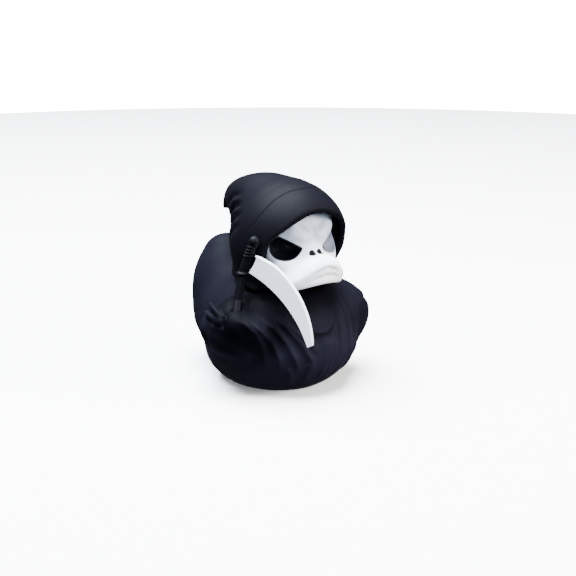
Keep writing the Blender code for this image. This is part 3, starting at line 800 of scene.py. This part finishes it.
class Finish:
    """A material and the nodes that make it."""

    def __init__(self, name, roughness, level):
        self.material = bpy.data.materials.new(name)
        self.material.use_nodes = True
        self.tree = self.material.node_tree
        self.shader = self.tree.nodes["Principled BSDF"]
        self.shader.inputs["Roughness"].default_value = roughness
        self.shader.inputs["Specular IOR Level"].default_value = level
        self.place = self.node("ShaderNodeTexCoord", {}, output="Object")

    def put(self, socket, value):
        if isinstance(value, Wire):
            self.tree.links.new(value.socket, socket)
        else:
            socket.default_value = value

    def node(self, kind, settings, *values, output=0, **named):
        made = self.tree.nodes.new(kind)
        for key, value in settings.items():
            setattr(made, key, value)
        for socket, value in zip(made.inputs, values):
            self.put(socket, value)
        for key, value in named.items():
            self.put(made.inputs[key.replace("_", " ")], value)
        return Wire(self, made.outputs[output])

    def noise(self, scale, detail=3.0, roughness=0.55):
        return self.node("ShaderNodeTexNoise", {}, Vector=self.place, Scale=scale, Detail=detail, Roughness=roughness)

    def layer(self, name):
        return self.node("ShaderNodeAttribute", {"attribute_name": name}, output="Fac")

    def step(self, value, low, high):
        return self.node("ShaderNodeMapRange", {"interpolation_type": "SMOOTHSTEP"}, value, low, high, 0.0, 1.0)

    def mix(self, share, first, last):
        made = self.tree.nodes.new("ShaderNodeMix")
        made.data_type = "RGBA"
        for socket, value in zip((made.inputs[0], made.inputs[6], made.inputs[7]), (share, first, last)):
            self.put(socket, value)
        return Wire(self, made.outputs[2])

    def bump(self, height, depth):
        return self.node("ShaderNodeBump", {}, Strength=1.0, Distance=depth, Height=height)

    def set(self, name, value):
        self.put(self.shader.inputs[name], value)


# Colours of the black vinyl: paler low on the robe as painted bounce light from the floor, near black as a painted
# shadow under the hooded head and round the shaft, and darker along the seam
FLOOR_BOUNCE_BLACK = (0.013, 0.0125, 0.022, 1.0)
SHADOW_BLACK = (0.0004, 0.0004, 0.0009, 1.0)
SEAM_BLACK = (0.0006, 0.0006, 0.0012, 1.0)
# Colours of the white vinyl and of the black paint on the face, and of the light and shade painted on the face: a
# painted highlight on ridges, a whiter bill as painted light, painted shade on the brow, in the socket walls and in
# creases, and a painted shadow under the hood's rim
CHALK_WHITES = [(0.72, 0.74, 0.79, 1.0), (0.82, 0.84, 0.88, 1.0)]
RIDGE_WHITE = (0.88, 0.88, 0.88, 1.0)
BILL_WHITE = (0.97, 0.97, 0.97, 1.0)
BROW_GREY = (0.38, 0.41, 0.47, 1.0)
RECESS_GREY = (0.13, 0.14, 0.19, 1.0)
HOLLOW_GREY = (0.16, 0.18, 0.24, 1.0)
SHELTER_GREY = (0.06, 0.065, 0.10, 1.0)
PAINT_BLACK = (0.0012, 0.0013, 0.0028, 1.0)


def black_vinyl(name, tone, level, seam=False, shelter=False):
    """Matt blue-black vinyl, a little uneven, with a paler painted highlight on its crests."""
    finish = Finish(name, 0.5, level)
    clouds = finish.noise(90.0)
    grain = finish.noise(1400.0, 2.0)
    dark, pale, crest_highlight = [tuple(tone * part for part in shade) + (1.0,) for shade in BLUE_BLACKS]
    shade = finish.mix(clouds, dark, pale)
    # Painted highlight: the crests are mixed towards a paler black
    crest = finish.step(finish.layer("crest"), 0.15, 0.8)
    shade = finish.mix(crest * 0.35, shade, crest_highlight)
    if shelter:
        # Painted bounce light: the robe is paler low down, as if lit from the floor
        shade = finish.mix(finish.layer("low") * 0.8, shade, FLOOR_BOUNCE_BLACK)
        # Painted shadow: near black under the hooded head and round the shaft
        shade = finish.mix(finish.layer("shelter") * 0.9, shade, SHADOW_BLACK)
    height = grain * 0.16 + finish.noise(260.0) * 0.5
    if seam:
        line = finish.layer("seam").math("ABSOLUTE") / -SEAM_HALF
        groove = line.exp() * finish.layer("seam_depth")
        shade = finish.mix(groove * 0.75, shade, SEAM_BLACK)
        height = height - groove * 2.2
    finish.set("Base Color", shade)
    finish.set("Roughness", 0.50 + clouds * 0.12)
    finish.set("Normal", finish.bump(height, 0.00012))
    return finish.material


def white_vinyl(name, face=False):
    """Chalky white vinyl; on the face the sockets and nostrils are painted black."""
    finish = Finish(name, 0.5, 0.05)
    clouds = finish.noise(120.0)
    grain = finish.noise(1500.0, 2.0)
    shade = finish.mix(clouds, *CHALK_WHITES)
    finish.set("Roughness", 0.46 + clouds * 0.1)
    if face:
        # Painted shade: the brow greys towards the top, under the hood
        shade = finish.mix(finish.layer("brow"), shade, BROW_GREY)
        # Painted highlight on the ridges of the face
        ridge = finish.step(finish.layer("hollow") * -1.0, 0.02, 0.4)
        shade = finish.mix(ridge * 0.5, shade, RIDGE_WHITE)
        # Painted light: the bill is whiter than the rest of the face
        shade = finish.mix(finish.layer("bill"), shade, BILL_WHITE)
        # Painted shade on the socket walls
        shade = finish.mix(finish.layer("recess") * 0.9, shade, RECESS_GREY)
        # Painted shade in the creases, weaker on the bill
        hollow = finish.step(finish.layer("hollow"), 0.02, 0.6)
        shade = finish.mix(hollow * (0.8 - finish.layer("bill") * 0.55), shade, HOLLOW_GREY)
        # Painted shadow under the hood's rim
        shade = finish.mix(finish.layer("shelter") * 0.9, shade, SHELTER_GREY)
        paint = 1.0 - finish.step(finish.layer("socket"), -0.12, 0.12)
        shade = finish.mix(paint, shade, PAINT_BLACK)
    finish.set("Base Color", shade)
    finish.set("Normal", finish.bump(grain * 0.15 + finish.noise(300.0) * 0.4, 0.0001))
    return finish.material


def hollowness(points, field, reach=1.2):
    """How far a surface lies in a hollow: the field just outside it rises less than the distance."""
    _, gradient = slope(field, points)
    outward = gradient / np.maximum(np.linalg.norm(gradient, axis=1), 1e-6)[:, None]
    return 1.0 - field(points + outward * reach) / reach


def piece(item, node, material, drawn):
    """Bring a piece to its place in the frame and let it stand for its node."""
    where = places(item) * MM + drawn
    where = np.clip(where, np.array(CAD_BOX[0]), np.array(CAD_BOX[1]))
    item.data.vertices.foreach_set("co", where.ravel())
    item.data.update()
    item.data.materials.clear()
    item.data.materials.append(material)
    item.data.shade_smooth()
    item.name = node + "_skin"
    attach(item, "root")
    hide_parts(node)


def area_light(name, place, size, power, colour=(1.0, 1.0, 1.0)):
    """A soft lamp of a size and a power, turned towards the figure."""
    lamp = bpy.data.lights.new(name, "AREA")
    lamp.shape = "RECTANGLE"
    lamp.size, lamp.size_y = size
    lamp.energy = power
    lamp.color = colour
    item = bpy.data.objects.new(name, lamp)
    item.location = place
    item.rotation_euler = (Vector(MIDDLE) - Vector(place)).to_track_quat("-Z", "Y").to_euler()
    bpy.context.collection.objects.link(item)


# The camera's bearing and height in degrees, and its place in metres of the drawing
CAMERA_AZIMUTH = -38.0
CAMERA_ELEVATION = 15.0
CAMERA_PLACE = (-0.346444, -0.454932, 0.192024)
# The point in metres that the lamps look at, and the colour of the cooler ones
MIDDLE = (0.0, 0.0, 0.045)
COOL_LIGHT = (0.82, 0.90, 1.0)
SKY_SEEN = 20.0
SKY_LIT = 0.2


def studio(drawn):
    """The photograph's camera, soft lamps overhead and at both sides, and a pale floor."""
    azimuth, elevation = math.radians(CAMERA_AZIMUTH), math.radians(CAMERA_ELEVATION)
    right = Vector((math.cos(azimuth), math.sin(azimuth), 0.0))
    level = math.cos(elevation)
    back = Vector((math.sin(azimuth) * level, -math.cos(azimuth) * level, math.sin(elevation)))
    up = back.cross(right)
    lens = bpy.data.cameras.new("camera")
    lens.lens, lens.sensor_width = 85.0, 36.0
    camera = bpy.data.objects.new("camera", lens)
    turn = Matrix((right, up, back)).transposed().to_4x4()
    turn.translation = Vector(CAMERA_PLACE) + Vector(drawn)
    camera.matrix_world = turn
    bpy.context.collection.objects.link(camera)
    bpy.context.scene.camera = camera
    world = bpy.data.worlds.new("studio")
    world.use_nodes = True
    bpy.context.scene.world = world
    nodes, links = world.node_tree.nodes, world.node_tree.links
    seen, lit = nodes["Background"], nodes.new("ShaderNodeBackground")
    seen.inputs["Color"].default_value = (1.0, 1.0, 1.0, 1.0)
    lit.inputs["Color"].default_value = (1.0, 1.0, 1.0, 1.0)
    seen.inputs["Strength"].default_value = SKY_SEEN
    lit.inputs["Strength"].default_value = SKY_LIT
    chosen = nodes.new("ShaderNodeMixShader")
    links.new(nodes.new("ShaderNodeLightPath").outputs["Is Camera Ray"], chosen.inputs[0])
    links.new(lit.outputs[0], chosen.inputs[1])
    links.new(seen.outputs[0], chosen.inputs[2])
    links.new(chosen.outputs[0], nodes["World Output"].inputs["Surface"])
    area_light("overhead", (-0.12, 0.12, 1.0), (1.0, 1.0), 175.0, COOL_LIGHT)
    area_light("left_front", (-0.60, -0.60, 0.25), (0.5, 0.5), 8.0, COOL_LIGHT)
    area_light("right_front", (0.45, -0.65, 0.35), (0.4, 0.4), 22.0)
    builder = bmesh.new()
    bmesh.ops.create_circle(builder, cap_ends=True, segments=96, radius=0.9)
    floor = object_from(builder, "floor")
    paper = Finish("floor_paper", 0.9, 0.1)
    paper.set("Base Color", (0.97, 0.93, 0.89, 1.0))
    floor.data.materials.append(paper.material)
    floor.visible_diffuse = False
    floor.visible_glossy = False


def main():
    crescent = blade()
    low = places(crescent).min(axis=0) * MM
    drawn = np.array(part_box("scythe_blade")[0]) - low
    drawn[2] = 0.0
    studio(drawn)

    body_masses = [HULL, KEEL, CHEST, BACK, TAIL] + HANDS + both_sides(SLEEVE) + both_arms(CUFF)
    body = moulded("body", body_masses, body_field, ROBE_CELL)
    # crest carries the painted highlight on the robe's ridges
    mark(body, "crest", -hollowness(places(body), body_field))
    # Painted shadow under the hooded head and round the shaft, weaker on the left side
    spots = places(body)
    near = np.minimum(skull_field(spots) + LEFT_OPEN * ramp(spots[:, 0], *LEFT_OPEN_FROM), snath_field(spots))
    mark(body, "shelter", 1.0 - ramp(near, *CHEST_SHELTER))
    # Painted bounce light from the floor, low on the robe
    mark(body, "low", 1.0 - ramp(spots[:, 2], *LOW_TINT))
    stand_flat(body)

    hollow = scaffold("hollow", [CRANIUM, HOOD_MOUTH] + both_sides(CHEEK), GAP)
    hood = moulded("cloth", [DOME, PEAK, NAPE], hood_field, HOOD_CELL, hollow)
    spots = places(hood)
    # crest carries the painted highlight on the hood's ridges
    mark(hood, "crest", -hollowness(spots, hood_field))
    side = np.minimum(np.abs(spots[:, 0]) / SEAM_SIDE_REACH, 1.0)
    off = rim_plane(spots) - SEAM_BACK - SEAM_SIDE * side
    mark(hood, "seam", off)
    mark(hood, "seam_depth", ramp(spots[:, 2], *SEAM_FADE))

    skull_masses = [CRANIUM, BRIDGE, UPPER_BILL, LOWER_BILL]
    skull_masses += both_sides(CHEEK) + both_sides(TEMPLE) + both_sides(BROW)
    skull = moulded("face", skull_masses, skull_field, SKULL_CELL)
    spots = places(skull)
    # hollow carries the painted shade in creases and, negated, the painted highlight on ridges
    mark(skull, "hollow", hollowness(spots, skull_field))
    mark(skull, "socket", painted(spots))
    # Painted shadow under the hood's rim
    mark(skull, "shelter", 1.0 - ramp(hood_field(spots), GAP, SHELTER_REACH))
    # Painted light on the bill
    mark(skull, "bill", ramp(-spots[:, 1], *BILL_TINT) * (1.0 - ramp(spots[:, 2], *BILL_TOP)))
    # Painted shade on the brow
    mark(skull, "brow", ramp(spots[:, 2], *BROW_TINT))
    # Painted shade on the socket walls
    mark(skull, "recess", 1.0 - ramp(np.minimum(*socket_walls(spots)), *RECESS_TINT))

    shaft = moulded("shaft", [SHAFT_LIMB, KNOB], snath_field, SNATH_CELL)
    # crest carries the painted highlight on the shaft's ridges
    mark(shaft, "crest", -hollowness(places(shaft), snath_field, 0.5))

    piece(body, "robe_body", black_vinyl("robe_vinyl", 1.0, 0.015, shelter=True), drawn)
    piece(hood, "hood", black_vinyl("hood_vinyl", 0.5, 0.028, seam=True), drawn)
    piece(skull, "skull_face", white_vinyl("bone_white_vinyl", face=True), drawn)
    piece(shaft, "scythe_snath", black_vinyl("shaft_black_vinyl", 0.45, 0.05), drawn)
    piece(crescent, "scythe_blade", white_vinyl("blade_white_vinyl"), drawn)


main()
